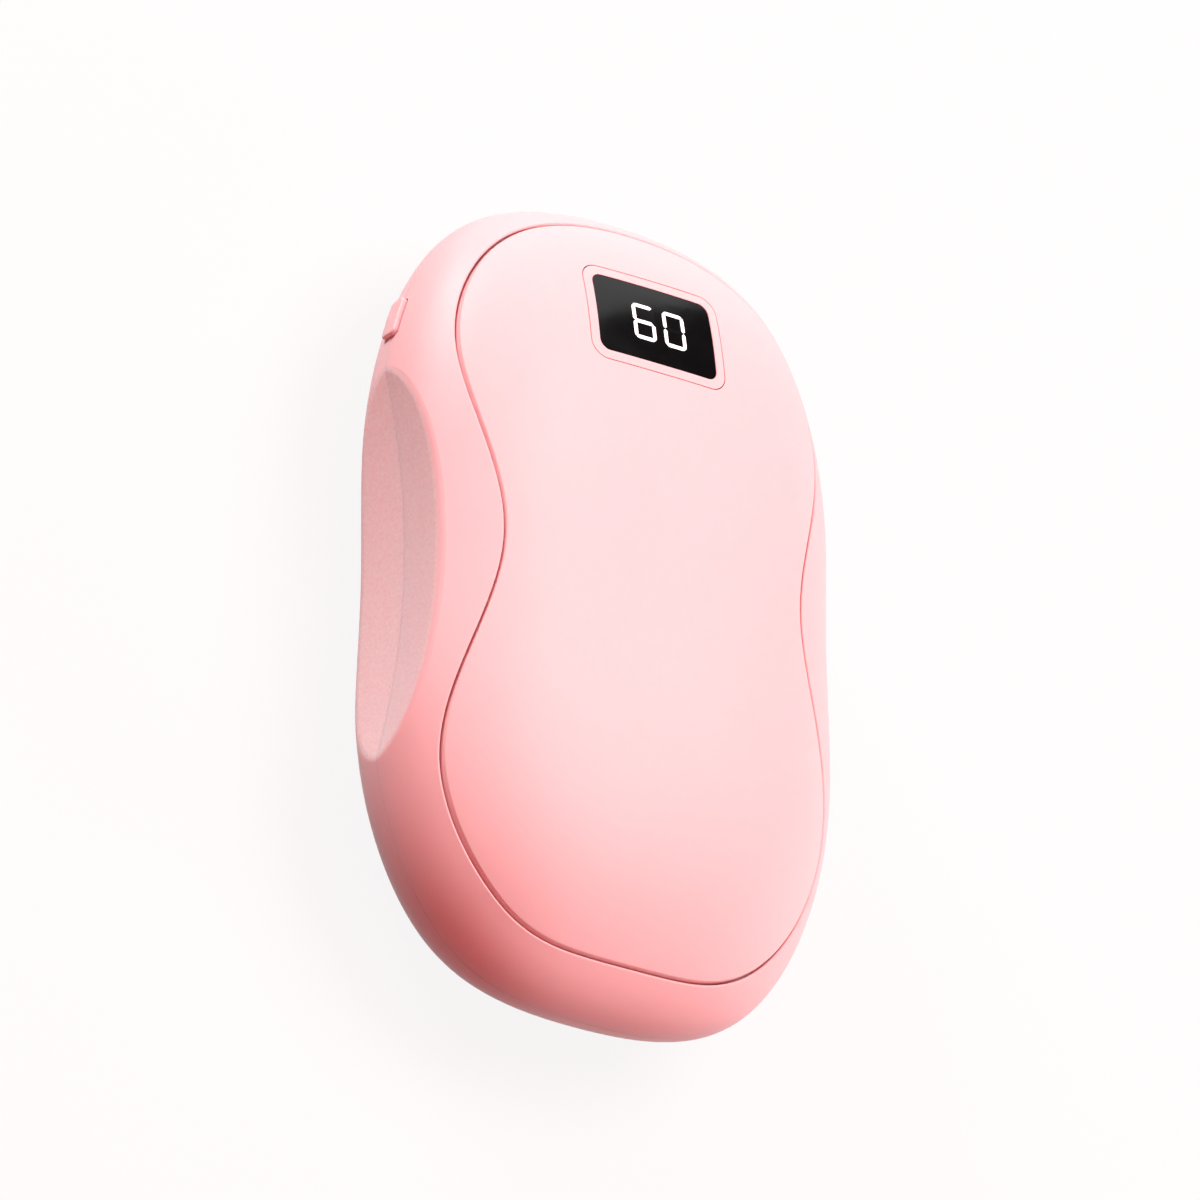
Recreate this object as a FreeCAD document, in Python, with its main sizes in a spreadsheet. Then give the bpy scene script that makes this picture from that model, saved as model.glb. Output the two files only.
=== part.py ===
import FreeCAD, Part
import math
import os
import Sketcher

V = FreeCAD.Vector
UP = V(0, 0, 1)

doc = FreeCAD.newDocument("HandWarmer")

# Driving dimensions in millimetres, apart from scoop_lean (degrees) and side_fullness (an exponent).
# The hand warmer lies on its back: X across, Y along it towards the display, Z out of its front face.
SIZES = [
    # Pebble outline, given on the right half by its distance in from the side and from each end
    ("body_length", 105.1),
    ("body_width", 64.0),
    ("half_thickness", 14.65),
    ("rest_flat", 0.3),
    ("side_fullness", 3.52),
    ("crown_y", 1.7),
    ("lower_corner_in", 10.3),
    ("lower_corner_up", 5.95),
    ("lower_side_in", 1.6),
    ("lower_side_up", 21.95),
    ("upper_side_in", 3.35),
    ("upper_side_down", 18.5),
    ("upper_corner_in", 11.0),
    ("upper_corner_down", 5.95),
    # Case halves
    ("shell_wall", 3.0),
    ("parting_gap", 0.04),
    ("seat_gap", 0.05),
    # Finger scoop in each side
    ("scoop_depth", 4.25),
    ("scoop_radius", 99.0),
    ("scoop_y", 1.3),
    ("scoop_lean", 5.0),
    ("scoop_rim", 1.8),
    # Hourglass warm plates
    ("panel_end_low", 4.96),
    ("panel_end_top", 3.62),
    ("lower_shoulder_in", 14.87),
    ("lower_shoulder_up", 8.06),
    ("lower_lobe_in", 4.54),
    ("lower_lobe_up", 26.2),
    ("waist_in", 10.42),
    ("waist_y", 2.4),
    ("upper_lobe_in", 5.92),
    ("upper_lobe_down", 25.5),
    ("upper_shoulder_in", 12.25),
    ("upper_shoulder_down", 10.2),
    ("panel_gap", 0.3),
    ("panel_thickness", 1.5),
    ("panel_edge", 0.2),
    ("bond_gap", 0.1),
    ("ledge_width", 2.5),
    # Display
    ("display_down", 17.87),
    ("window_width", 17.2),
    ("window_height", 11.0),
    ("window_corner", 1.4),
    ("window_thickness", 1.2),
    ("window_sunk", 0.08),
    ("window_gap", 0.05),
    ("bezel_margin", 1.16),
    ("bezel_corner", 2.2),
    ("bezel_gap", 0.15),
    ("bezel_low_above_mid", 6.0),
    ("digit_height", 4.55),
    ("digit_width", 2.7),
    ("digit_pitch", 4.45),
    ("digits_right", 0.5),
    ("digit_corner", 0.75),
    ("segment_stroke", 0.52),
    ("segment_gap", 0.1),
    ("display_board_thickness", 1.0),
    ("ribbon_width", 8.0),
    ("ribbon_thickness", 0.3),
    # Power button and its switch
    ("button_down", 19.75),
    ("button_drop", 0.5),
    ("button_length", 5.5),
    ("button_height", 2.8),
    ("button_corner", 0.7),
    ("button_proud", 0.6),
    ("button_gap", 0.2),
    ("button_edge", 0.25),
    ("button_travel", 0.45),
    ("flange_wing", 1.2),
    ("flange_thickness", 1.15),
    ("stem_length", 0.5),
    ("stem_width", 2.0),
    ("plunger_length", 2.0),
    ("plunger_width", 1.6),
    ("switch_depth", 3.5),
    ("switch_width", 6.0),
    ("switch_height", 3.4),
    # Charging socket in the upper end
    ("usb_width", 8.94),
    ("usb_height", 3.16),
    ("usb_depth", 7.35),
    ("usb_wall", 0.3),
    ("usb_sunk", 1.0),
    ("tongue_width", 6.69),
    ("tongue_thickness", 0.7),
    ("tongue_length", 5.6),
    ("port_gap", 0.15),
    # Main board
    ("board_thickness", 1.2),
    ("board_down", 28.0),
    ("board_gap", 0.4),
    ("chip_size", 5.0),
    ("chip_height", 0.9),
    ("chip_up", 7.35),
    ("chip_from_ribbon", 1.0),
    ("inductor_up", 3.25),
    ("inductor_length", 6.0),
    ("inductor_width", 4.0),
    ("inductor_height", 4.0),
    ("connector_width", 6.0),
    ("connector_depth", 4.0),
    ("connector_height", 2.0),
    # Battery, its cradle and the foam pads
    ("cell_in", 10.5),
    ("cell_up", 16.55),
    ("cell_from_board", 2.55),
    ("cell_under", 9.15),
    ("cell_edge", 1.5),
    ("cell_gap", 0.25),
    ("cradle_wall", 1.2),
    ("cradle_below_top", 2.5),
    ("tray_corner_x", 10.5),
    ("tray_corner_y", 9.0),
    ("deck_thickness", 1.2),
    ("foam_thickness", 2.4),
    ("foam_in", 4.5),
    ("foam_end_in", 6.0),
    # Heating films
    ("film_thickness", 0.25),
    ("film_margin", 1.0),
    ("sensor_length", 2.4),
    ("sensor_width", 1.6),
    ("sensor_height", 0.8),
    ("lead_diameter", 1.0),
    ("lead_spacing", 12.0),
    ("cell_lead_spacing", 3.0),
    ("lead_below_top", 1.0),
    ("lead_bend", 1.0),
    # Screws
    ("boss_diameter", 6.6),
    ("web_thickness", 1.6),
    ("web_above_mid", 5.0),
    ("collar_diameter", 4.6),
    ("upper_screw_from_bezel", 0.25),
    ("upper_screw_up", 3.3),
    ("lower_screw_in", 18.0),
    ("lower_screw_up", 13.05),
    ("screw_diameter", 2.0),
    ("screw_length", 9.0),
    ("screw_gap", 0.15),
    ("head_diameter", 3.6),
    ("head_height", 1.2),
    ("head_seat_below_deck", 1.0),
    ("board_screw_in", 17.5),
    ("board_screw_up", 2.6),
    ("board_screw_length", 2.2),
]

# Places worked out from the driving dimensions
PLACES = [
    ("mid_z", "Sizes.half_thickness - Sizes.rest_flat"),
    ("top_y", "Sizes.body_length / 2"),
    ("low_y", "-Sizes.body_length / 2"),
    ("side_x", "Sizes.body_width / 2"),
    ("display_y", "top_y - Sizes.display_down"),
    ("button_z", "mid_z - Sizes.button_drop"),
    ("bezel_low", "mid_z + Sizes.bezel_low_above_mid"),
    ("board_top", "mid_z - Sizes.usb_height / 2 - Sizes.seat_gap"),
    ("board_low_y", "top_y - Sizes.board_down"),
    ("deck_top", "board_top - Sizes.board_thickness - Sizes.seat_gap"),
    ("deck_low", "deck_top - Sizes.deck_thickness"),
    ("cell_low_y", "low_y + Sizes.cell_up"),
    ("cell_top_y", "board_low_y - Sizes.cell_from_board"),
    ("cell_length", "cell_top_y - cell_low_y"),
    ("cell_mid_y", "cell_low_y + cell_length / 2"),
    ("cell_width", "Sizes.body_width - 2 * Sizes.cell_in"),
    ("cell_thickness", "2 * (Sizes.half_thickness - Sizes.cell_under)"),
    ("cell_low", "mid_z - cell_thickness / 2"),
    ("cell_top", "mid_z + cell_thickness / 2"),
    ("tray_side", "cell_length - 2 * Sizes.tray_corner_y"),
    ("tray_end", "cell_width - 2 * Sizes.tray_corner_x"),
    ("foam_width", "cell_width - 2 * Sizes.foam_in"),
    ("foam_length", "cell_length - 2 * Sizes.foam_end_in"),
    ("tray_low", "cell_low - Sizes.cell_gap - Sizes.cradle_wall"),
    ("connector_y", "board_low_y + Sizes.seat_gap"),
    ("lead_y", "board_low_y + Sizes.lead_diameter"),
    ("bezel_side", "Sizes.window_width / 2 + Sizes.bezel_margin"),
    ("upper_screw_x", "bezel_side + Sizes.upper_screw_from_bezel + Sizes.boss_diameter / 2"),
    ("lower_screw_x", "side_x - Sizes.lower_screw_in"),
    ("board_screw_x", "side_x - Sizes.board_screw_in"),
    ("upper_screw_y", "display_y + Sizes.upper_screw_up"),
    ("lower_screw_y", "low_y + Sizes.lower_screw_up"),
    ("board_screw_y", "board_low_y + Sizes.board_screw_up"),
    ("head_seat", "deck_low - Sizes.head_seat_below_deck"),
    ("usb_back_y", "top_y - Sizes.usb_sunk - Sizes.usb_depth"),
]


def fill_sheet(name, rows, prefix):
    sheet = doc.addObject("Spreadsheet::Sheet", name)
    for row, (alias, content) in enumerate(rows, start=1):
        sheet.set(f"A{row}", alias)
        sheet.set(f"B{row}", prefix + str(content))
        sheet.setAlias(f"B{row}", alias)
    doc.recompute()
    return sheet


sizes = fill_sheet("Sizes", SIZES, "")
places = fill_sheet("Places", PLACES, "=")


def size(alias):
    return float(sizes.get(alias))


def place(alias):
    return float(places.get(alias))


def feature(label, shape):
    """A sub-part or tool whose shape is free-form."""
    obj = doc.addObject("Part::Feature", label)
    obj.Label = label
    obj.Shape = shape
    return obj


def block(label, low, extent):
    """A box whose lowest corner and three sides are expressions."""
    obj = doc.addObject("Part::Box", label)
    obj.Label = label
    for side, text in zip(("Length", "Width", "Height"), extent):
        obj.setExpression(side, text)
    for axis, text in zip("xyz", low):
        obj.setExpression(f"Placement.Base.{axis}", text)
    return obj


def rod(label, foot, diameter, length):
    """An upright cylinder whose foot, diameter and length are expressions."""
    obj = doc.addObject("Part::Cylinder", label)
    obj.Label = label
    obj.setExpression("Radius", f"({diameter}) / 2")
    obj.setExpression("Height", length)
    for axis, text in zip("xyz", foot):
        obj.setExpression(f"Placement.Base.{axis}", text)
    return obj


def cut(label, base, *tools):
    for number, tool in enumerate(tools, start=1):
        step = doc.addObject("Part::Cut", f"{label}_cut{number}")
        step.Base = base
        step.Tool = tool
        base = step
    base.Label = label
    return base


def joined(label, *shapes):
    obj = doc.addObject("Part::MultiFuse", label)
    obj.Label = label
    obj.Shapes = list(shapes)
    return obj


def group(label, *solids):
    obj = doc.addObject("Part::Compound", label)
    obj.Label = label
    obj.Links = list(solids)
    return obj


# Curves of the case


def closed_curve(points, start):
    """A smooth closed curve through points that leaves the first of them in a given direction."""
    curve = Part.BSplineCurve()
    given = [True] + [False] * (len(points) - 1)
    curve.interpolate(Points=points, PeriodicFlag=True, Tangents=[start] * len(points), TangentFlags=given)
    return curve


def mirrored_curve(right_half):
    """A closed curve through points on the right half, lowest first, and their mirror images."""
    left_half = [V(-point.x, point.y, 0) for point in reversed(right_half[1:-1])]
    return closed_curve(right_half + left_half, V(1, 0, 0))


def case_outline():
    side = place("side_x")
    low = place("low_y")
    top = place("top_y")
    return mirrored_curve([
        V(0, low, 0),
        V(side - size("lower_corner_in"), low + size("lower_corner_up"), 0),
        V(side - size("lower_side_in"), low + size("lower_side_up"), 0),
        V(side, 0, 0),
        V(side - size("upper_side_in"), top - size("upper_side_down"), 0),
        V(side - size("upper_corner_in"), top - size("upper_corner_down"), 0),
        V(0, top, 0),
    ])


def panel_outline():
    side = place("side_x")
    low = place("low_y")
    top = place("top_y")
    return mirrored_curve([
        V(0, low + size("panel_end_low"), 0),
        V(side - size("lower_shoulder_in"), low + size("lower_shoulder_up"), 0),
        V(side - size("lower_lobe_in"), low + size("lower_lobe_up"), 0),
        V(side - size("waist_in"), size("waist_y"), 0),
        V(side - size("upper_lobe_in"), top - size("upper_lobe_down"), 0),
        V(side - size("upper_shoulder_in"), top - size("upper_shoulder_down"), 0),
        V(0, top - size("panel_end_top"), 0),
    ])


def grown(curve, distance):
    """The closed curve moved outwards by a distance, starting on its right side."""
    count = 48
    quarter = count // 4
    period = curve.LastParameter - curve.FirstParameter
    points = []
    for step in range(count):
        parameter = curve.FirstParameter + period * ((step + quarter) % count) / count
        along = curve.tangent(parameter)[0]
        points.append(curve.value(parameter) + V(along.y, -along.x, 0) * distance)
    return closed_curve(points, curve.tangent(curve.FirstParameter + period / 4)[0])


def prism(curve, low, high):
    face = Part.Face(Part.Wire(curve.toShape()))
    face.translate(V(0, 0, low))
    return face.extrude(UP * (high - low))


def slab(low, high):
    """A wide flat block between two heights."""
    reach = size("body_length") * 2
    return Part.makeBox(reach, reach, high - low, V(-reach / 2, -reach / 2, low))


def rounded_rectangle(width, height, corner):
    """A flat face in XY about the origin."""
    sharp = Part.makePlane(width, height, V(-width / 2, -height / 2, 0)).Wires[0]
    outline = sharp.makeOffset2D(-corner).makeOffset2D(corner)
    return Part.Face(Part.Wire(outline.Edges))


def stadium_bar(width, height, low_y, depth):
    """A bar along Y with nearly half-round sides, at the height of the middle plane."""
    corner = height / 2 - size("seat_gap")
    bar = rounded_rectangle(width, height, corner).extrude(UP * depth)
    bar.rotate(V(0, 0, 0), V(1, 0, 0), -90)
    bar.translate(V(0, low_y, place("mid_z")))
    return bar


# The pebble and the bodies inset from it


def pebble():
    """Scaled copies of the outline, stacked on a superellipse from the back crown to the front crown."""
    steps = 12
    crown_angle = 87.0
    easing = 1.5
    outline = case_outline().toShape()
    rise = [crown_angle * (1 - (1 - step / steps) ** easing) for step in range(steps + 1)]
    wires = []
    for degrees in [-angle for angle in reversed(rise[1:])] + rise:
        angle = math.radians(degrees)
        scale = math.cos(angle) ** (2 / size("side_fullness"))
        height = size("half_thickness") * math.sin(angle)
        move = FreeCAD.Matrix()
        move.scale(V(scale, scale, 1))
        move.move(V(0, size("crown_y") * (1 - scale), place("mid_z") + height))
        wires.append(Part.Wire(outline.transformGeometry(move)))
    return Part.makeLoft(wires, True, False)


PEBBLE = pebble()


def inset_pebble(distance):
    """The pebble with every side moved in by a distance."""
    half_sides = (place("side_x"), place("top_y"), size("half_thickness"))
    move = FreeCAD.Matrix()
    move.move(V(0, 0, -place("mid_z")))
    move.scale(V(*[(half - distance) / half for half in half_sides]))
    move.move(V(0, 0, place("mid_z")))
    return PEBBLE.transformGeometry(move)


def scoop(side, distance):
    """The rounded tool that leaves a finger scoop, moved into the case by a distance."""
    reach = size("half_thickness") * 2
    radius = size("scoop_radius") + distance
    lean = reach * math.tan(math.radians(size("scoop_lean")))
    profile = Part.makePolygon([
        V(0, 0, -reach),
        V(radius - lean, 0, -reach),
        V(radius, 0, 0),
        V(radius - lean, 0, reach),
        V(0, 0, reach),
        V(0, 0, -reach),
    ])
    tool = Part.Face(profile).revolve(V(0, 0, 0), UP, 360)
    tool.rotate(V(0, 0, 0), UP, 0 if side > 0 else 180)
    axis_x = place("side_x") - size("scoop_depth") + size("scoop_radius")
    tool.translate(V(side * axis_x, size("scoop_y"), place("mid_z")))
    return tool


def inset_body(distance):
    """The scooped pebble with every side moved in by a distance."""
    return inset_pebble(distance).cut(scoop(1, distance)).cut(scoop(-1, distance))


def flat_plate(label, distance, low, high):
    """A flat plate in the rear half that fills the case up to a distance from its outside."""
    outline = inset_pebble(distance).slice(UP, low)[0]
    plate = Part.Face(outline).extrude(UP * (high - low))
    radius = size("scoop_radius") + distance
    axis_x = place("side_x") - size("scoop_depth") + size("scoop_radius")
    sides = [column(side * axis_x, size("scoop_y"), 0, place("mid_z"), 2 * radius) for side in (-1, 1)]
    return feature(label, plate.cut(sides))


def rounded_front_half():
    """The front half of the case as a solid, with the rims of the scoops rounded."""
    half = inset_body(0).common(slab(place("mid_z"), place("mid_z") + size("half_thickness") * 2))
    scoop_x = place("side_x") - size("scoop_depth")
    rims = []
    for edge in half.Edges:
        box = edge.BoundBox
        beside = box.XMin > scoop_x - size("seat_gap") or box.XMax < -scoop_x + size("seat_gap")
        if beside and box.ZMax > place("mid_z") + size("scoop_rim") / 2:
            rims.append(edge)
    return half.makeFillet(size("scoop_rim"), rims)


def to_back(shape):
    """The mirror image of a front shape in the middle plane."""
    return shape.mirror(V(0, 0, place("mid_z")), UP)


FRONT_HALF = rounded_front_half()
CAVITY = inset_body(size("shell_wall"))
SEAM = panel_outline()
FLOOR_INSET = size("panel_thickness") + size("bond_gap")
PANEL_BED = inset_pebble(FLOOR_INSET)


def screw_places():
    upper = [(side * place("upper_screw_x"), place("upper_screw_y")) for side in (-1, 1)]
    lower = [(side * place("lower_screw_x"), place("lower_screw_y")) for side in (-1, 1)]
    return upper + lower


def column(x, y, low, high, diameter):
    return Part.makeCylinder(diameter / 2, high - low, V(x, y, low))


def boss_web(x, y, high):
    """The web that carries a screw boss from the wall at its side."""
    low = place("mid_z") + size("web_above_mid")
    length = place("side_x")
    corner = V(x if x > 0 else x - length, y - size("web_thickness") / 2, low)
    return Part.makeBox(length, size("web_thickness"), high - low, corner)


def long_rims(shape, curve):
    """The long edges of an upright wall on a curve: those of its foot first, then those of its top."""
    wall = curve.toShape()
    rims = []
    for edge in shape.Edges:
        if edge.Length < size("body_width") / 2:
            continue
        points = [V(point.x, point.y, 0) for point in edge.discretize(4)]
        if max(Part.Vertex(point).distToShape(wall)[0] for point in points) < size("seat_gap") / 2:
            rims.append(edge)
    return sorted(rims, key=lambda edge: edge.BoundBox.ZMax)


def half_shell():
    """The front half of the case, hollow but for its screw bosses, with the bed and ledge of a plate."""
    middle = place("mid_z")
    low = middle + size("panel_thickness")
    high = middle + size("half_thickness") * 2
    edge = grown(SEAM, size("panel_gap") / 2)
    posts = []
    for x, y in screw_places():
        posts.append(column(x, y, middle - size("half_thickness"), high, size("boss_diameter")))
        posts.append(boss_web(x, y, high))
    bed = prism(edge, low, high).cut(PANEL_BED)
    opening = prism(grown(SEAM, -size("ledge_width")), low, high).cut(posts)
    shell = FRONT_HALF.cut(bed).cut(opening).cut(CAVITY.cut(posts))
    rims = long_rims(shell, edge)
    shell = shell.makeFillet(size("panel_edge"), rims[len(rims) // 2:])
    return shell.cut(slab(middle - size("half_thickness"), middle + size("parting_gap") / 2))


HALF_SHELL = half_shell()


# The place of the power button: its origin on the outline, local X pointing into the case


def button_frame():
    level = place("top_y") - size("button_down")
    wall = Part.makeLine(V(-size("body_width"), level, 0), V(0, level, 0))
    crossing = case_outline().intersect(wall.Curve)
    point = min(crossing, key=lambda cross: cross.X)
    origin = V(point.X, point.Y, 0)
    outline = case_outline()
    along = outline.tangent(outline.parameter(origin))[0]
    inward = V(-along.y, along.x, 0)
    rotation = FreeCAD.Rotation(inward, UP.cross(inward), UP, "XYZ")
    return FreeCAD.Placement(origin + UP * place("button_z"), rotation)


BUTTON = button_frame()


def in_button_frame(low, extent):
    """A box from its corner and sides along the button's own axes."""
    shape = Part.makeBox(*extent, V(*low))
    shape.Placement = BUTTON
    return shape


def button_bar(gap):
    """The long bar of the button's outline, running through the wall."""
    reach = size("shell_wall") * 2
    length = size("button_length") + 2 * gap
    height = size("button_height") + 2 * gap
    bar = rounded_rectangle(length, height, size("button_corner") + gap).extrude(UP * 2 * reach)
    bar.rotate(V(0, 0, 0), UP, 90)
    bar.rotate(V(0, 0, 0), V(0, 1, 0), 90)
    bar.translate(V(-reach, 0, 0))
    bar.Placement = BUTTON.multiply(bar.Placement)
    return bar


def port_hole():
    """The opening for the charging socket in the upper end."""
    depth = size("shell_wall") * 2
    width = size("usb_width") + 2 * size("port_gap")
    height = size("usb_height") + 2 * size("port_gap")
    return stadium_bar(width, height, place("top_y") - depth, 2 * depth)


# Case halves


def front_frame():
    bottom = place("mid_z")
    pilot_top = place("head_seat") + size("screw_length") + size("seat_gap")
    pilot = size("screw_diameter") + size("seat_gap")
    pilots = [column(x, y, bottom, pilot_top, pilot) for x, y in screw_places()]
    return feature("front_frame", HALF_SHELL.cut(pilots + [button_bar(size("button_gap")), port_hole()]))


def rear_shell():
    top = place("deck_low") - size("seat_gap")
    bottom = place("mid_z") - size("half_thickness")
    hole = size("screw_diameter") + 2 * size("screw_gap")
    sink = size("head_diameter") + 2 * size("screw_gap")
    clear = size("boss_diameter") + 2 * size("seat_gap")
    tools = [button_bar(size("button_gap")), port_hole()]
    for x, y in screw_places():
        shaft = column(x, y, bottom, top, hole)
        head_room = column(x, y, bottom, place("head_seat"), sink)
        deck_room = column(x, y, top, place("mid_z"), clear)
        tools.append(deck_room.fuse(shaft).fuse(head_room))
    return feature("rear_shell", to_back(HALF_SHELL).cut(tools))


# Warm plates


def plate_blank():
    """The front plate before its display opening, with its outer edge rounded."""
    reach = size("half_thickness") * 2
    edge = prism(grown(SEAM, -size("panel_gap") / 2), place("mid_z"), place("mid_z") + reach)
    plate = edge.common(inset_pebble(0)).cut(inset_pebble(size("panel_thickness")))
    rims = [item for item in plate.Edges if item.Length > size("body_width")]
    rims.sort(key=lambda item: item.BoundBox.ZMax)
    return plate.makeFillet(size("panel_edge"), rims[len(rims) // 2:])


def front_panel():
    width = size("window_width") + 2 * (size("bezel_margin") + size("bezel_gap"))
    height = size("window_height") + 2 * (size("bezel_margin") + size("bezel_gap"))
    opening = display_prism(width, height, size("bezel_corner") + size("bezel_gap"))
    return feature("front_panel", plate_blank().cut(opening))


def rear_panel():
    plate = to_back(plate_blank())
    return feature("rear_panel", plate.common(slab(0, place("mid_z"))))


# Display


def display_prism(width, height, corner):
    """An upright bar with the outline of one of the display's pieces."""
    face = rounded_rectangle(width, height, corner)
    face.translate(V(0, place("display_y"), place("bezel_low")))
    return face.extrude(UP * size("half_thickness"))


def window_prism(gap):
    width = size("window_width") - 2 * gap
    height = size("window_height") - 2 * gap
    return display_prism(width, height, size("window_corner"))


def display_bezel():
    width = size("window_width") + 2 * size("bezel_margin")
    height = size("window_height") + 2 * size("bezel_margin")
    tube = display_prism(width, height, size("bezel_corner")).cut(window_prism(0))
    return feature("display_bezel", tube.common(inset_pebble(0)))


def segment(middle, along, outward, length, mitred):
    """A bar of a digit: a 45 degree mitre at the ends that meet a corner, a point at the others."""
    flank = size("segment_stroke") / 2
    half = length / 2
    gap = size("segment_gap") / 2
    corners = []
    for end, mitre in zip((1, -1), mitred):
        if mitre:
            tips = [(half + flank - gap, flank), (half - flank - gap, -flank)]
        else:
            tips = [(half - flank - gap, flank), (half - gap, 0), (half - flank - gap, -flank)]
        tips = [(end * reach, across) for reach, across in tips]
        corners += tips if end > 0 else tips[::-1]
    points = [middle + along * reach + outward * across for reach, across in corners]
    return Part.Face(Part.makePolygon(points + points[:1])).extrude(UP * size("half_thickness"))


def digit(x):
    """The seven bars of one digit by their usual letters, cut to its rounded outline."""
    width = size("digit_width")
    height = size("digit_height")
    centre = V(x, place("display_y"), place("bezel_low"))
    right = V(1, 0, 0)
    up = V(0, 1, 0)
    side = right * (width / 2)
    rise = up * (height / 2)
    bars = {
        "a": segment(centre + rise, right, up, width, (True, True)),
        "b": segment(centre + side + rise / 2, up, right, height / 2, (True, False)),
        "c": segment(centre + side - rise / 2, -up, right, height / 2, (True, False)),
        "d": segment(centre - rise, right, -up, width, (True, True)),
        "e": segment(centre - side - rise / 2, -up, -right, height / 2, (True, False)),
        "f": segment(centre - side + rise / 2, up, -right, height / 2, (True, False)),
        "g": segment(centre, right, up, width, (False, False)),
    }
    stroke = size("segment_stroke")
    outline = display_prism(width + stroke, height + stroke, size("digit_corner"))
    outline.translate(V(x, 0, 0))
    return {letter: bar.common(outline) for letter, bar in bars.items()}


def window_skin():
    depth = size("window_sunk") + size("window_thickness")
    return window_prism(size("window_gap")).common(inset_pebble(size("window_sunk"))).cut(inset_pebble(depth))


WINDOW = window_skin()
LEFT_DIGIT = digit(size("digits_right") - size("digit_pitch") / 2)
RIGHT_DIGIT = digit(size("digits_right") + size("digit_pitch") / 2)


def bars_in_window(bars):
    return Part.makeCompound(Part.makeCompound(bars).common(WINDOW).Solids)


def lit_bars():
    """The bars that make the number 60."""
    return [LEFT_DIGIT[letter] for letter in "acdefg"] + [RIGHT_DIGIT[letter] for letter in "abcdef"]


def unlit_bars():
    return [LEFT_DIGIT["b"], RIGHT_DIGIT["g"]]


def display_window():
    return feature("display_window", WINDOW.cut(lit_bars() + unlit_bars()))


def lit_segments():
    return feature("lit_segments", bars_in_window(lit_bars()))


def unlit_segments():
    return feature("unlit_segments", bars_in_window(unlit_bars()))


def display_module():
    depth = size("window_sunk") + size("window_thickness") + size("seat_gap")
    floor = place("bezel_low") + size("display_board_thickness") + size("seat_gap")
    module = window_prism(size("bezel_gap")).common(inset_pebble(depth))
    return feature("display_module", module.common(slab(floor, floor + size("half_thickness"))))


def display_board():
    width = "(Sizes.window_width - Sizes.window_corner)"
    height = "(Sizes.window_height - Sizes.window_corner)"
    low = (f"-{width} / 2", f"Places.display_y - {height} / 2", "Places.bezel_low")
    return block("display_board", low, (width, height, "Sizes.display_board_thickness"))


def display_ribbon():
    low = ("-Sizes.ribbon_width / 2", "Places.display_y", "Places.board_top + Sizes.seat_gap")
    rise = "Places.bezel_low - Places.board_top - 2 * Sizes.seat_gap"
    return block("display_ribbon", low, ("Sizes.ribbon_width", "Sizes.ribbon_thickness", rise))


# Power button and switch, along the button's own axes


def flange_end():
    """How deep the button's flange reaches below the outside of the case."""
    return size("shell_wall") + size("button_gap") + size("flange_thickness")


def power_button():
    reach = size("shell_wall") * 2
    half_height = size("button_height") / 2
    behind = in_button_frame((flange_end(), -reach, -reach), (2 * reach, 2 * reach, 2 * reach))
    cap = button_bar(0).common(inset_pebble(-size("button_proud"))).cut(behind)
    faces = [face for face in cap.Faces if isinstance(face.Surface, Part.BSplineSurface)]
    outer = min(faces, key=lambda face: BUTTON.inverse().multVec(face.CenterOfMass).x)
    cap = cap.makeFillet(size("button_edge"), outer.Edges)
    wing = size("button_length") / 2 + size("flange_wing")
    flange = in_button_frame((0, -wing, -half_height), (flange_end(), 2 * wing, 2 * half_height))
    flange = flange.common(inset_pebble(size("shell_wall") + size("button_gap")))
    half_stem = size("stem_width") / 2
    stem = in_button_frame((flange_end(), -half_stem, -half_stem),
                           (size("stem_length"), 2 * half_stem, 2 * half_stem))
    return feature("power_button", cap.fuse(flange).fuse(stem).removeSplitter())


def plunger_at():
    return flange_end() + size("stem_length") + size("seat_gap")


def switch_plunger():
    half = size("plunger_width") / 2
    return feature("switch_plunger", in_button_frame((plunger_at(), -half, -half),
                                                     (size("plunger_length"), 2 * half, 2 * half)))


def switch_front():
    """Where the switch's front face is, clear of the stem when the button is pressed home."""
    return plunger_at() + size("button_travel") * 2


def switch_body():
    gap = size("button_gap")
    half_width = size("switch_width") / 2
    low = place("board_top") + size("seat_gap") - place("button_z")
    body = in_button_frame((switch_front(), -half_width, low),
                           (size("switch_depth"), 2 * half_width, size("switch_height")))
    half = size("plunger_width") / 2 + gap
    bore_end = plunger_at() + size("plunger_length") + size("button_travel") + gap
    bore = in_button_frame((switch_front(), -half, -half),
                           (bore_end - switch_front(), 2 * half, 2 * half))
    return feature("switch_body", body.cut(bore))


# Charging socket


def usb_shell():
    wall = size("usb_wall")
    outer = stadium_bar(size("usb_width"), size("usb_height"), place("usb_back_y"), size("usb_depth"))
    inner = stadium_bar(size("usb_width") - 2 * wall, size("usb_height") - 2 * wall,
                        place("usb_back_y") + wall, size("usb_depth"))
    return feature("usb_shell", outer.cut(inner))


def usb_tongue():
    low = ("-Sizes.tongue_width / 2", "Places.usb_back_y + Sizes.usb_wall + Sizes.seat_gap",
           "Places.mid_z - Sizes.tongue_thickness / 2")
    return block("usb_tongue", low, ("Sizes.tongue_width", "Sizes.tongue_length", "Sizes.tongue_thickness"))


# Main board and what it carries


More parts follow.
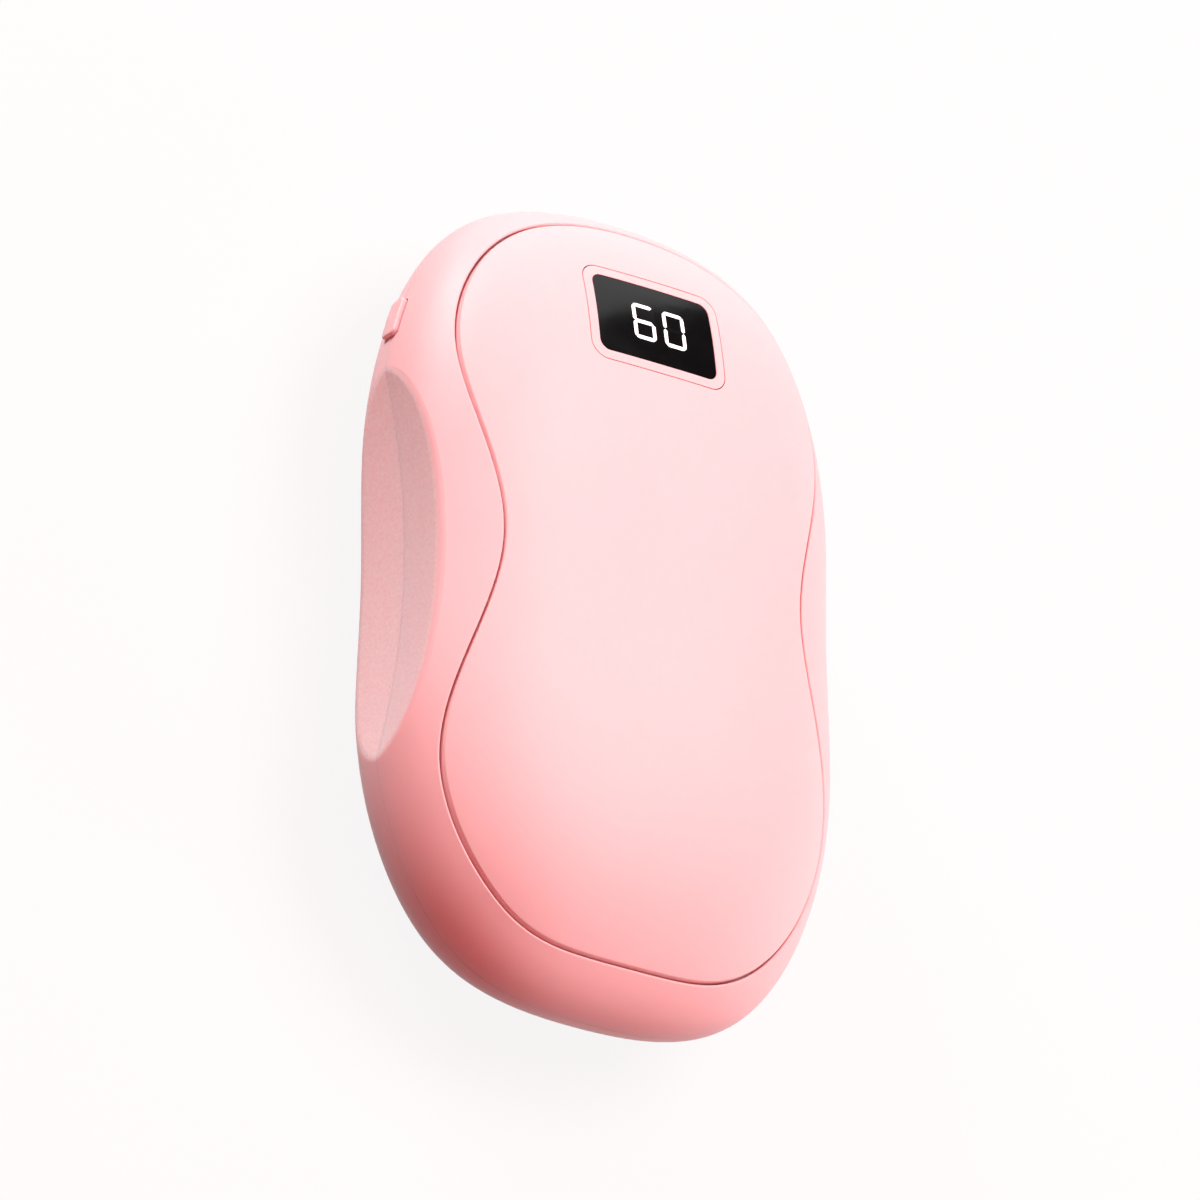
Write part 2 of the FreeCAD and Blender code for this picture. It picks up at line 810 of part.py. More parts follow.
def main_board():
    gap = size("shell_wall") + size("board_gap")
    whole = flat_plate("board_whole", gap, place("board_top") - size("board_thickness"), place("board_top"))
    lower = block("board_lower", ("-Places.side_x", "Places.low_y", "0"),
                  ("Sizes.body_width", "Places.board_low_y - Places.low_y", "Places.mid_z"))
    board = cut("board_blank", whole, lower)
    reach = size("button_length") + 2 * (size("flange_wing") + size("button_travel"))
    room = in_button_frame((-reach, -reach / 2, -reach), (reach + switch_front(), reach, 2 * reach))
    tools = [feature("button_room", room)]
    for side in (-1, 1):
        across = f"{side} * Places.upper_screw_x"
        tools.append(rod(f"boss_notch{len(tools)}", (across, "Places.upper_screw_y", "Places.deck_low"),
                         "Sizes.collar_diameter + 2 * Sizes.board_gap", "Sizes.half_thickness"))
        across = f"{side} * Places.board_screw_x"
        tools.append(rod(f"board_hole{len(tools)}", (across, "Places.board_screw_y", "Places.deck_low"),
                         "Sizes.screw_diameter + 2 * Sizes.screw_gap", "Sizes.half_thickness"))
    return cut("main_board", board, *tools)


def on_board(label, x, y, side_x, side_y, height):
    """A box that stands on the main board, centred on a point."""
    low = (f"{x} - ({side_x}) / 2", f"{y} - ({side_y}) / 2", "Places.board_top + Sizes.seat_gap")
    return block(label, low, (side_x, side_y, height))


def board_chips():
    """The charging chip and the control chip, one each side of the display's cable."""
    chips = []
    for side in (-1, 1):
        x = f"{side} * (Sizes.ribbon_width / 2 + Sizes.chip_size / 2 + Sizes.chip_from_ribbon)"
        chips.append(on_board(f"chip{len(chips)}", x, "Places.board_low_y + Sizes.chip_up",
                              "Sizes.chip_size", "Sizes.chip_size", "Sizes.chip_height"))
    return group("board_chips", *chips)


def power_inductor():
    return on_board("power_inductor", "0", "Places.display_y + Sizes.inductor_up",
                    "Sizes.inductor_length", "Sizes.inductor_width", "Sizes.inductor_height")


def battery_connector():
    return on_board("battery_connector", "0", "Places.connector_y + Sizes.connector_depth / 2",
                    "Sizes.connector_width", "Sizes.connector_depth", "Sizes.connector_height")


# Battery, cradle, foam


def battery_cell():
    body = doc.addObject("PartDesign::Body", "battery_cell")
    body.Label = "battery_cell"
    plane = [item for item in body.Origin.OriginFeatures if item.Role == "XY_Plane"][0]
    sketch = body.newObject("Sketcher::SketchObject", "cell_outline")
    sketch.AttachmentSupport = (plane, [""])
    sketch.MapMode = "FlatFace"
    corners = [V(-1, -1, 0), V(1, -1, 0), V(1, 1, 0), V(-1, 1, 0)]
    for number in range(4):
        sketch.addGeometry(Part.LineSegment(corners[number], corners[(number + 1) % 4]))
    for number in range(4):
        sketch.addConstraint(Sketcher.Constraint("Coincident", number, 2, (number + 1) % 4, 1))
    for number in range(4):
        kind = "Vertical" if number % 2 else "Horizontal"
        sketch.addConstraint(Sketcher.Constraint(kind, number))
    sketch.addConstraint(Sketcher.Constraint("Symmetric", 0, 1, 1, 2, -1, 1))
    width = sketch.addConstraint(Sketcher.Constraint("DistanceX", 0, 1, 0, 2, 2.0))
    length = sketch.addConstraint(Sketcher.Constraint("DistanceY", 1, 1, 1, 2, 2.0))
    sketch.setExpression(f"Constraints[{width}]", "Places.cell_width")
    sketch.setExpression(f"Constraints[{length}]", "Places.cell_length")
    pad = body.newObject("PartDesign::Pad", "cell_pad")
    pad.Profile = sketch
    pad.setExpression("Length", "Places.cell_thickness")
    doc.recompute()
    fillet = body.newObject("PartDesign::Fillet", "cell_edges")
    fillet.Base = (pad, [f"Edge{number}" for number in range(1, len(pad.Shape.Edges) + 1)])
    fillet.setExpression("Radius", "Sizes.cell_edge")
    body.setExpression("Placement.Base.y", "Places.cell_mid_y")
    body.setExpression("Placement.Base.z", "Places.cell_low")
    return body


def battery_cradle():
    deck = flat_plate("deck", size("shell_wall") + size("cell_gap"), place("deck_low"), place("deck_top"))
    gap = "Sizes.cell_gap"
    wall = "(Sizes.cell_gap + Sizes.cradle_wall)"
    depth = "Places.cell_top - Sizes.cradle_below_top - Places.tray_low"
    side_low = (f"-Places.cell_width / 2 - {wall}", "Places.cell_mid_y - Places.tray_side / 2",
                "Places.tray_low")
    side_tray = block("side_tray", side_low, (f"Places.cell_width + 2 * {wall}", "Places.tray_side", depth))
    end_low = ("-Places.tray_end / 2", f"Places.cell_low_y - {wall}", "Places.tray_low")
    end_tray = block("end_tray", end_low, ("Places.tray_end", f"Places.cell_length + 2 * {wall}", depth))
    pocket_low = (f"-Places.cell_width / 2 - {gap}", f"Places.cell_low_y - {gap}", f"Places.cell_low - {gap}")
    pocket = block("pocket", pocket_low, (f"Places.cell_width + 2 * {gap}", f"Places.cell_length + 2 * {gap}",
                                          "Sizes.half_thickness * 2"))
    tools = [pocket]
    collars = []
    rise = "Places.mid_z - Sizes.seat_gap - Places.deck_low"
    for x, y in (("upper_screw_x", "upper_screw_y"), ("lower_screw_x", "lower_screw_y")):
        for side in (-1, 1):
            foot = (f"{side} * Places.{x}", f"Places.{y}", "Places.deck_low")
            collars.append(rod(f"collar{len(collars)}", foot, "Sizes.collar_diameter", rise))
            hole = "Sizes.screw_diameter + 2 * Sizes.screw_gap"
            tools.append(rod(f"deck_hole{len(tools)}", foot, hole, rise))
    for side in (-1, 1):
        foot = (f"{side} * Sizes.lead_spacing / 2", "Places.lead_y", "Places.tray_low")
        tools.append(rod(f"lead_hole{len(tools)}", foot, "2 * Sizes.lead_diameter", "Sizes.half_thickness"))
        foot = (f"{side} * Places.board_screw_x", "Places.board_screw_y", "Places.deck_low")
        tools.append(rod(f"deck_pilot{len(tools)}", foot, "Sizes.screw_diameter + Sizes.seat_gap", rise))
    return cut("battery_cradle", joined("cradle_blank", deck, side_tray, end_tray, *collars), *tools)


def foam(label, low_z):
    low = ("-Places.foam_width / 2", "Places.cell_mid_y - Places.foam_length / 2", low_z)
    return block(label, low, ("Places.foam_width", "Places.foam_length", "Sizes.foam_thickness"))


# Heating films, sensors and wires


def film_skin():
    """The film on the inside of the front plate, between the lower screws and the display."""
    outer = size("panel_thickness") + size("seat_gap")
    high = place("mid_z") + size("half_thickness") * 2
    edge = grown(SEAM, -size("ledge_width") - size("film_margin"))
    film = prism(edge, place("mid_z"), high)
    film = film.common(inset_pebble(outer)).cut(inset_pebble(outer + size("film_thickness")))
    low_y = place("lower_screw_y") + size("boss_diameter") / 2 + size("film_margin")
    bezel = size("window_height") / 2 + size("bezel_margin")
    top_y = place("display_y") - bezel - size("film_margin")
    width = size("body_width")
    keep = Part.makeBox(width, top_y - low_y, high, V(-width / 2, low_y, 0))
    return film.common(keep)


FILM = film_skin()


def film_inset():
    return size("panel_thickness") + 2 * size("seat_gap") + size("film_thickness")


def thermistors():
    """One sensor under the crown of each film."""
    top = place("mid_z") + size("half_thickness") - film_inset()
    sides = (size("sensor_length"), size("sensor_width"), size("sensor_height"))
    low = V(-sides[0] / 2, size("crown_y") - sides[1] / 2, top - sides[2])
    front = Part.makeBox(*sides, low)
    return feature("thermistors", Part.makeCompound([front, to_back(front)]))


def under_film(x, y):
    """How high the inner face of the front film is over a point."""
    line = Part.makeLine(V(x, y, place("mid_z")), V(x, y, place("mid_z") + size("half_thickness")))
    return line.common(inset_pebble(film_inset())).BoundBox.ZMax


def lead_top(x):
    """The top of a heater wire: just under the front film, where that film is lowest over the wire."""
    radius = size("lead_diameter") / 2
    return min(under_film(x + step, place("lead_y") + step) for step in (-radius, radius))


def front_heater_leads():
    low = place("board_top") + size("seat_gap")
    wires = []
    for x in (-size("lead_spacing") / 2, size("lead_spacing") / 2):
        wires.append(column(x, place("lead_y"), low, lead_top(x), size("lead_diameter")))
    return feature("front_heater_leads", Part.makeCompound(wires))


def rear_heater_leads():
    high = place("board_top") - size("board_thickness") - size("seat_gap")
    wires = []
    for x in (-size("lead_spacing") / 2, size("lead_spacing") / 2):
        low = 2 * place("mid_z") - lead_top(x)
        wires.append(column(x, place("lead_y"), low, high, size("lead_diameter")))
    return feature("rear_heater_leads", Part.makeCompound(wires))


def battery_leads():
    """Two wires out of the cell's upper end, over the cradle's wall and down into the connector."""
    solids = []
    bend = size("lead_bend")
    start_y = place("cell_top_y") + size("seat_gap")
    turn_y = place("connector_y") + size("connector_depth") / 2
    low = place("board_top") + 2 * size("seat_gap") + size("connector_height")
    high = place("cell_top") - size("lead_below_top")
    for side in (-1, 1):
        x = side * size("cell_lead_spacing") / 2
        start = V(x, start_y, high)
        bend_start = V(x, turn_y - bend, high)
        bend_end = V(x, turn_y, high - bend)
        middle = bend_end + V(0, bend * (math.sqrt(0.5) - 1), bend * math.sqrt(0.5))
        path = Part.Wire([
            Part.LineSegment(start, bend_start).toShape(),
            Part.Arc(bend_start, middle, bend_end).toShape(),
            Part.LineSegment(bend_end, V(x, turn_y, low)).toShape(),
        ])
        section = Part.Wire(Part.makeCircle(size("lead_diameter") / 2, start, V(0, 1, 0)))
        solids.append(path.makePipeShell([section], True, False))
    return feature("battery_leads", Part.makeCompound(solids))


# Screws


def screw(label, x, y, seat, length, upward):
    """A pan-head screw whose head seats at a height; upward is 1 or -1 for the way its shank points."""
    head_foot = f"{seat} - Sizes.head_height" if upward > 0 else seat
    shank_foot = seat if upward > 0 else f"{seat} - ({length})"
    head = rod(f"{label}_head", (x, y, head_foot), "Sizes.head_diameter", "Sizes.head_height")
    shank = rod(f"{label}_shank", (x, y, shank_foot), "Sizes.screw_diameter", length)
    return joined(label, head, shank)


def case_screws():
    screws = []
    for x, y in (("upper_screw_x", "upper_screw_y"), ("lower_screw_x", "lower_screw_y")):
        for side in (-1, 1):
            screws.append(screw(f"case_screw{len(screws)}", f"{side} * Places.{x}", f"Places.{y}",
                                "(Places.head_seat - Sizes.seat_gap)", "Sizes.screw_length", 1))
    return group("case_screws", *screws)


def board_screws():
    screws = [screw(f"board_screw{number}", f"{side} * Places.board_screw_x", "Places.board_screw_y",
                    "(Places.board_top + Sizes.seat_gap)", "Sizes.board_screw_length", -1)
              for number, side in enumerate((-1, 1))]
    return group("board_screws", *screws)


def parts_list():
    return [
        front_frame(),
        rear_shell(),
        front_panel(),
        rear_panel(),
        display_bezel(),
        display_window(),
        lit_segments(),
        unlit_segments(),
        display_module(),
        display_board(),
        display_ribbon(),
        power_button(),
        switch_plunger(),
        switch_body(),
        usb_shell(),
        usb_tongue(),
        main_board(),
        board_chips(),
        power_inductor(),
        battery_connector(),
        battery_cell(),
        battery_cradle(),
        foam("front_foam", "Places.cell_top + Sizes.seat_gap"),
        foam("rear_foam", "Places.tray_low - Sizes.seat_gap - Sizes.foam_thickness"),
        feature("front_heater", FILM),
        feature("rear_heater", to_back(FILM)),
        thermistors(),
        front_heater_leads(),
        rear_heater_leads(),
        battery_leads(),
        case_screws(),
        board_screws(),
    ]


def check(parts):
    for obj in doc.Objects:
        if "Invalid" in obj.State or "Error" in obj.State:
            raise RuntimeError(f"{obj.Label} failed: {obj.State}")
    for obj in parts:
        if obj.Shape.isNull() or not obj.Shape.isValid() or not obj.Shape.Solids:
            raise RuntimeError(f"{obj.Label} has no valid solid")


parts = parts_list()
doc.recompute()
check(parts)
os.makedirs("parts", exist_ok=True)
for obj in parts:
    obj.Shape.exportStep(f"parts/{obj.Label}.step")
    print(obj.Label, len(obj.Shape.Solids), round(obj.Shape.Volume, 2))
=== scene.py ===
import math

import bmesh
import bpy
from mathutils import Matrix, Vector


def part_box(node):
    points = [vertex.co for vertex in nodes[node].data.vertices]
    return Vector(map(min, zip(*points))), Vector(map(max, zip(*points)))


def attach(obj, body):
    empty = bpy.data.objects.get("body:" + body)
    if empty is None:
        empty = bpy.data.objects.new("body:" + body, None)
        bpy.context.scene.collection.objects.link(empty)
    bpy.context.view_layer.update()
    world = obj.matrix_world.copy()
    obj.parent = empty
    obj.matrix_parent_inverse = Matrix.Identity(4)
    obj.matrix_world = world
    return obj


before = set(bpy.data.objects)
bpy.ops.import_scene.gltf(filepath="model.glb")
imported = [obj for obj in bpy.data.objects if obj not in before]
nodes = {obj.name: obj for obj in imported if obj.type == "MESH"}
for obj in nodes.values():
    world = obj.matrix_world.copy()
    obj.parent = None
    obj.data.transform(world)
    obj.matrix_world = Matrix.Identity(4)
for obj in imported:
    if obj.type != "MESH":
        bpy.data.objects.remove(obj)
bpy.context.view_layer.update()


# Case halves.
# Two injection-moulded halves of pink ABS that meet in the middle plane, with a finger scoop in each side.
# The outside comes out of the mould with a fine satin texture, and the scoops are etched coarser for grip.

MM = 0.001


def linear(hex_colour):
    """An sRGB hex colour as linear red, green, blue and alpha."""
    channels = [int(hex_colour[start:start + 2], 16) / 255 for start in (1, 3, 5)]
    straight = [c / 12.92 if c <= 0.04045 else ((c + 0.055) / 1.055) ** 2.4 for c in channels]
    return (*straight, 1.0)


def add(tree, kind, settings=None, links=None):
    """Adds a node, sets its properties and sockets by name and links its inputs from (node, output) pairs."""
    node = tree.nodes.new(kind)
    for name, value in (settings or {}).items():
        if isinstance(name, str) and hasattr(node, name):
            setattr(node, name, value)
        else:
            node.inputs[name].default_value = value
    for socket, (source, output) in (links or {}).items():
        tree.links.new(source.outputs[output], node.inputs[socket])
    return node


def new_material(name):
    """An empty node material, returned with its tree, its shader and the object coordinates."""
    material = bpy.data.materials.new(name)
    material.use_nodes = True
    tree = material.node_tree
    tree.nodes.clear()
    shader = add(tree, "ShaderNodeBsdfPrincipled")
    add(tree, "ShaderNodeOutputMaterial", links={"Surface": (shader, "BSDF")})
    coords = add(tree, "ShaderNodeTexCoord")
    return material, tree, shader, coords


def dress(material, *names):
    """Gives a finish to the case's own solids."""
    for name in names:
        nodes[name].data.materials.clear()
        nodes[name].data.materials.append(material)


# ABS, spark-eroded mould: an even satin pink whose 0.25 mm grain only breaks up the highlights.
# The scoop's own 0.4 mm grain is rougher, so it looks greyer there; its paler pink is partly that finish and
# partly painted light. Edges are painted paler in places, as a painted highlight.
CASE_PINK = "#FCD1D3"
CASE_PINK_DEEP = "#FBCACD"
CASE_EDGE_HIGHLIGHT = "#FDDFE0"
SCOOP_FROST_AND_LIT_PINK = "#FDE9EA"
SCOOP_FROST_AND_LIT_SPECK = "#F9DADC"
SCOOP_AXIS_X = 126.75 * MM
SCOOP_AXIS_Y = 1.3 * MM
SCOOP_RADIUS = 99.0 * MM
SCOOP_LEAN = math.tan(math.radians(5.0))
PARTING_Z = 14.35 * MM

moulded_abs, tree, shader, coords = new_material("moulded_pink_abs")
cloud = add(tree, "ShaderNodeTexNoise", {"Scale": 1 / (18 * MM), "Detail": 3.0},
            {"Vector": (coords, "Object")})
tint = add(tree, "ShaderNodeMix", {"data_type": "RGBA", 6: linear(CASE_PINK), 7: linear(CASE_PINK_DEEP)},
           {"Factor": (cloud, "Fac")})
place = add(tree, "ShaderNodeSeparateXYZ", links={"Vector": (coords, "Object")})
across = add(tree, "ShaderNodeMath", {"operation": "ABSOLUTE"}, {0: (place, "X")})
inward = add(tree, "ShaderNodeMath", {"operation": "SUBTRACT", 0: SCOOP_AXIS_X}, {1: (across, 0)})
along = add(tree, "ShaderNodeMath", {"operation": "SUBTRACT", 1: SCOOP_AXIS_Y}, {0: (place, "Y")})
arm = add(tree, "ShaderNodeCombineXYZ", links={"X": (inward, 0), "Y": (along, 0)})
level = add(tree, "ShaderNodeVectorMath", {"operation": "LENGTH"}, {0: (arm, 0)})
above = add(tree, "ShaderNodeMath", {"operation": "SUBTRACT", 1: PARTING_Z}, {0: (place, "Z")})
apart = add(tree, "ShaderNodeMath", {"operation": "ABSOLUTE"}, {0: (above, 0)})
reach = add(tree, "ShaderNodeMath", {"operation": "MULTIPLY_ADD", 1: SCOOP_LEAN},
            {0: (apart, 0), 2: (level, "Value")})
in_scoop = add(tree, "ShaderNodeMapRange",
               {"interpolation_type": "SMOOTHSTEP",
                "From Min": SCOOP_RADIUS + 0.2 * MM,
                "From Max": SCOOP_RADIUS + 0.04 * MM},
               {"Value": (reach, 0)})
scoop_grain = add(tree, "ShaderNodeTexNoise", {"Scale": 1 / (0.4 * MM), "Detail": 3.0},
                  {"Vector": (coords, "Object")})
speck = add(tree, "ShaderNodeMapRange", {"From Min": 0.35, "From Max": 0.7}, {"Value": (scoop_grain, "Fac")})
# Painted light in part: the scoop is painted paler than the case, for its coarser etched finish and to stand
# in for light the lamps don't bring there.
scoop_frost_and_light_tint = add(tree, "ShaderNodeMix", {"data_type": "RGBA", 6: linear(SCOOP_FROST_AND_LIT_PINK), 7: linear(SCOOP_FROST_AND_LIT_SPECK)},
                 {"Factor": (speck, 0)})
colour = add(tree, "ShaderNodeMix", {"data_type": "RGBA"},
             {"Factor": (in_scoop, "Result"), 6: (tint, 2), 7: (scoop_frost_and_light_tint, 2)})
surface = add(tree, "ShaderNodeNewGeometry")
# Painted highlight: convex edges, found by the bevelled normal, are painted paler in cloudy patches.
rounded = add(tree, "ShaderNodeBevel", {"samples": 4, "Radius": 0.35 * MM})
turned = add(tree, "ShaderNodeVectorMath", {"operation": "DOT_PRODUCT"},
             {0: (rounded, "Normal"), 1: (surface, "Normal")})
edge = add(tree, "ShaderNodeMapRange", {"From Min": 0.97, "From Max": 0.80, "To Max": 0.6},
           {"Value": (turned, "Value")})
edge_highlight_mask = add(tree, "ShaderNodeMath", {"operation": "MULTIPLY"}, {0: (edge, 0), 1: (cloud, "Fac")})
edge_highlight_tint = add(tree, "ShaderNodeMix", {"data_type": "RGBA", 7: linear(CASE_EDGE_HIGHLIGHT)},
             {"Factor": (edge_highlight_mask, 0), 6: (colour, 2)})
tree.links.new(edge_highlight_tint.outputs[2], shader.inputs["Base Color"])
fine_grain = add(tree, "ShaderNodeTexNoise", {"Scale": 1 / (0.25 * MM), "Detail": 2.0},
                 {"Vector": (coords, "Object")})
rub = add(tree, "ShaderNodeMapRange", {"To Min": 0.40, "To Max": 0.48}, {"Value": (cloud, "Fac")})
gloss = add(tree, "ShaderNodeMix", {"data_type": "FLOAT", "B": 0.62},
            {"Factor": (in_scoop, "Result"), "A": (rub, 0)})
tree.links.new(gloss.outputs[0], shader.inputs["Roughness"])
relief = add(tree, "ShaderNodeMix", {"data_type": "FLOAT"},
             {"Factor": (in_scoop, "Result"), "A": (fine_grain, "Fac"), "B": (scoop_grain, "Fac")})
bump = add(tree, "ShaderNodeBump", {"Strength": 0.08, "Distance": 0.05 * MM}, {"Height": (relief, 0)})
tree.links.new(bump.outputs["Normal"], shader.inputs["Normal"])
shader.inputs["IOR"].default_value = 1.53
shader.inputs["Specular IOR Level"].default_value = 0.25
shader.inputs["Subsurface Weight"].default_value = 0.25
shader.inputs["Subsurface Radius"].default_value = (1.0, 0.25, 0.2)
shader.inputs["Subsurface Scale"].default_value = 2.0 * MM
dress(moulded_abs, "front_frame", "rear_shell")


# Warm plates.
# Two hourglass plates let into the faces of the case and bonded to a ledge, each with a heating film
# behind it. They are sprayed with a soft-touch coat, a shade paler and smoother than the bare moulding.

PLATE_PINK = "#FCD4D6"
PLATE_PINK_DEEP = "#FBCFD1"

# Sprayed polyurethane coat: fine orange peel about 0.8 mm across, a soft broad highlight.
soft_coat, tree, shader, coords = new_material("sprayed_pink_soft_coat")
cloud = add(tree, "ShaderNodeTexNoise", {"Scale": 1 / (25 * MM), "Detail": 2.0},
            {"Vector": (coords, "Object")})
tint = add(tree, "ShaderNodeMix", {"data_type": "RGBA", 6: linear(PLATE_PINK), 7: linear(PLATE_PINK_DEEP)},
           {"Factor": (cloud, "Fac")})
tree.links.new(tint.outputs[2], shader.inputs["Base Color"])
rub = add(tree, "ShaderNodeMapRange", {"To Min": 0.38, "To Max": 0.45}, {"Value": (cloud, "Fac")})
tree.links.new(rub.outputs[0], shader.inputs["Roughness"])
peel = add(tree, "ShaderNodeTexNoise", {"Scale": 1 / (0.8 * MM), "Detail": 2.0},
           {"Vector": (coords, "Object")})
bump = add(tree, "ShaderNodeBump", {"Strength": 0.04, "Distance": 0.05 * MM}, {"Height": (peel, "Fac")})
tree.links.new(bump.outputs["Normal"], shader.inputs["Normal"])
shader.inputs["IOR"].default_value = 1.5
shader.inputs["Specular IOR Level"].default_value = 0.25
shader.inputs["Subsurface Weight"].default_value = 0.25
shader.inputs["Subsurface Radius"].default_value = (1.0, 0.25, 0.2)
shader.inputs["Subsurface Scale"].default_value = 2.0 * MM
dress(soft_coat, "front_panel", "rear_panel")


# Display.
# A smoked window in a pink frame of its own, set into the front plate, with the bars of two digits moulded
# through it as light guides. The block of lights, its board and a flat cable sit behind it.

dress(soft_coat, "display_bezel")

# Cast acrylic dyed nearly black and polished: sharp reflections, with a faint haze of fine scratches.
smoked_acrylic, tree, shader, coords = new_material("polished_smoked_acrylic")
haze = add(tree, "ShaderNodeTexNoise", {"Scale": 1 / (4 * MM), "Detail": 4.0}, {"Vector": (coords, "Object")})
tint = add(tree, "ShaderNodeMix", {"data_type": "RGBA", 6: linear("#060607"), 7: linear("#0E0E10")},
           {"Factor": (haze, "Fac")})
tree.links.new(tint.outputs[2], shader.inputs["Base Color"])
rub = add(tree, "ShaderNodeMapRange", {"To Min": 0.10, "To Max": 0.18}, {"Value": (haze, "Fac")})
tree.links.new(rub.outputs[0], shader.inputs["Roughness"])
shader.inputs["IOR"].default_value = 1.49
dress(smoked_acrylic, "display_window")

# Milky polycarbonate light guide, lit from behind, a little uneven in brightness.
lit_guide, tree, shader, coords = new_material("lit_milky_light_guide")
glow = add(tree, "ShaderNodeTexNoise", {"Scale": 1 / (1.5 * MM), "Detail": 1.0},
           {"Vector": (coords, "Object")})
tint = add(tree, "ShaderNodeMix", {"data_type": "RGBA", 6: linear("#F4F6F8"), 7: linear("#FFFFFF")},
           {"Factor": (glow, "Fac")})
tree.links.new(tint.outputs[2], shader.inputs["Base Color"])
tree.links.new(tint.outputs[2], shader.inputs["Emission Color"])
shader.inputs["Emission Strength"].default_value = 0.9
shader.inputs["Roughness"].default_value = 0.35
dress(lit_guide, "lit_segments")

# The same light guide with its lamp off, seen as dark grey through the smoke tint.
dark_guide, tree, shader, coords = new_material("unlit_light_guide")
haze = add(tree, "ShaderNodeTexNoise", {"Scale": 1 / (2 * MM), "Detail": 2.0}, {"Vector": (coords, "Object")})
tint = add(tree, "ShaderNodeMix", {"data_type": "RGBA", 6: linear("#0A0A0B"), 7: linear("#131315")},
           {"Factor": (haze, "Fac")})
tree.links.new(tint.outputs[2], shader.inputs["Base Color"])
shader.inputs["Roughness"].default_value = 0.16
dress(dark_guide, "unlit_segments")

# Moulded black plastic of small electrical parts: dull, with a 0.2 mm eroded grain.
black_moulding, tree, shader, coords = new_material("moulded_black_polyamide")
grain = add(tree, "ShaderNodeTexNoise", {"Scale": 1 / (0.2 * MM), "Detail": 3.0},
            {"Vector": (coords, "Object")})
tint = add(tree, "ShaderNodeMix", {"data_type": "RGBA", 6: linear("#141414"), 7: linear("#232323")},
           {"Factor": (grain, "Fac")})
tree.links.new(tint.outputs[2], shader.inputs["Base Color"])
bump = add(tree, "ShaderNodeBump", {"Strength": 0.2, "Distance": 0.03 * MM}, {"Height": (grain, "Fac")})
tree.links.new(bump.outputs["Normal"], shader.inputs["Normal"])
shader.inputs["Roughness"].default_value = 0.55
dress(black_moulding, "display_module")

# Glass laminate under green solder resist: the 0.5 mm weave of the glass shows through as a faint check.
green_laminate, tree, shader, coords = new_material("green_resist_on_glass_laminate")
warp = add(tree, "ShaderNodeTexWave", {"bands_direction": "X", "Scale": 0.314 / (0.5 * MM)},
           {"Vector": (coords, "Object")})
weft = add(tree, "ShaderNodeTexWave", {"bands_direction": "Y", "Scale": 0.314 / (0.5 * MM)},
           {"Vector": (coords, "Object")})
weave = add(tree, "ShaderNodeMath", {"operation": "MULTIPLY"}, {0: (warp, "Fac"), 1: (weft, "Fac")})
tint = add(tree, "ShaderNodeMix", {"data_type": "RGBA", 6: linear("#0E4A25"), 7: linear("#15602F")},
           {"Factor": (weave, 0)})
tree.links.new(tint.outputs[2], shader.inputs["Base Color"])
shader.inputs["Roughness"].default_value = 0.35
dress(green_laminate, "display_board")

# Polyimide film: clear amber over etched copper, so it shines like dull gold.
amber_film, tree, shader, coords = new_material("polyimide_film_over_copper")
tracks = add(tree, "ShaderNodeTexWave", {"bands_direction": "X", "Scale": 0.314 / (1.5 * MM)},
             {"Vector": (coords, "Object")})
tint = add(tree, "ShaderNodeMix", {"data_type": "RGBA", 6: linear("#B5651D"), 7: linear("#D58A35")},
           {"Factor": (tracks, "Fac")})
tree.links.new(tint.outputs[2], shader.inputs["Base Color"])
shader.inputs["Roughness"].default_value = 0.25
shader.inputs["IOR"].default_value = 1.7
dress(amber_film, "display_ribbon")


# Power button and its switch.
# A small pink cap in the left shoulder, held in by a flange behind the wall. Its stem pushes the plunger of
# a side-pressed switch soldered to the main board, and the switch's spring brings both back.

dress(moulded_abs, "power_button")
dress(black_moulding, "switch_body")

# Natural nylon: off-white and a little waxy, with slow cloudy variation from moulding.
natural_nylon, tree, shader, coords = new_material("moulded_natural_nylon")
cloud = add(tree, "ShaderNodeTexNoise", {"Scale": 1 / (6 * MM), "Detail": 3.0},
            {"Vector": (coords, "Object")})
tint = add(tree, "ShaderNodeMix", {"data_type": "RGBA", 6: linear("#E4E1D6"), 7: linear("#EFEDE6")},
           {"Factor": (cloud, "Fac")})
tree.links.new(tint.outputs[2], shader.inputs["Base Color"])
bump = add(tree, "ShaderNodeBump", {"Strength": 0.1, "Distance": 0.05 * MM}, {"Height": (cloud, "Fac")})
tree.links.new(bump.outputs["Normal"], shader.inputs["Normal"])
shader.inputs["Roughness"].default_value = 0.45
dress(natural_nylon, "switch_plunger")


# Charging socket.
# A drawn steel shell in the upper end of the case, soldered to the main board, with a black tongue inside.
# Gilt contacts lie side by side on both faces of the tongue.

# Nickel-plated steel: bright, with drawing lines about 0.1 mm apart along the shell.
plated_steel, tree, shader, coords = new_material("nickel_plated_steel")
lines = add(tree, "ShaderNodeMapping", {"Scale": (1.0, 0.05, 1.0)}, {"Vector": (coords, "Object")})
drawn = add(tree, "ShaderNodeTexNoise", {"Scale": 1 / (0.1 * MM), "Detail": 2.0}, {"Vector": (lines, 0)})
tint = add(tree, "ShaderNodeMix", {"data_type": "RGBA", 6: linear("#B4B2AE"), 7: linear("#CFCDC8")},
           {"Factor": (drawn, "Fac")})
tree.links.new(tint.outputs[2], shader.inputs["Base Color"])
rub = add(tree, "ShaderNodeMapRange", {"To Min": 0.22, "To Max": 0.36}, {"Value": (drawn, "Fac")})
tree.links.new(rub.outputs[0], shader.inputs["Roughness"])
shader.inputs["Metallic"].default_value = 1.0
dress(plated_steel, "usb_shell")
dress(black_moulding, "usb_tongue")

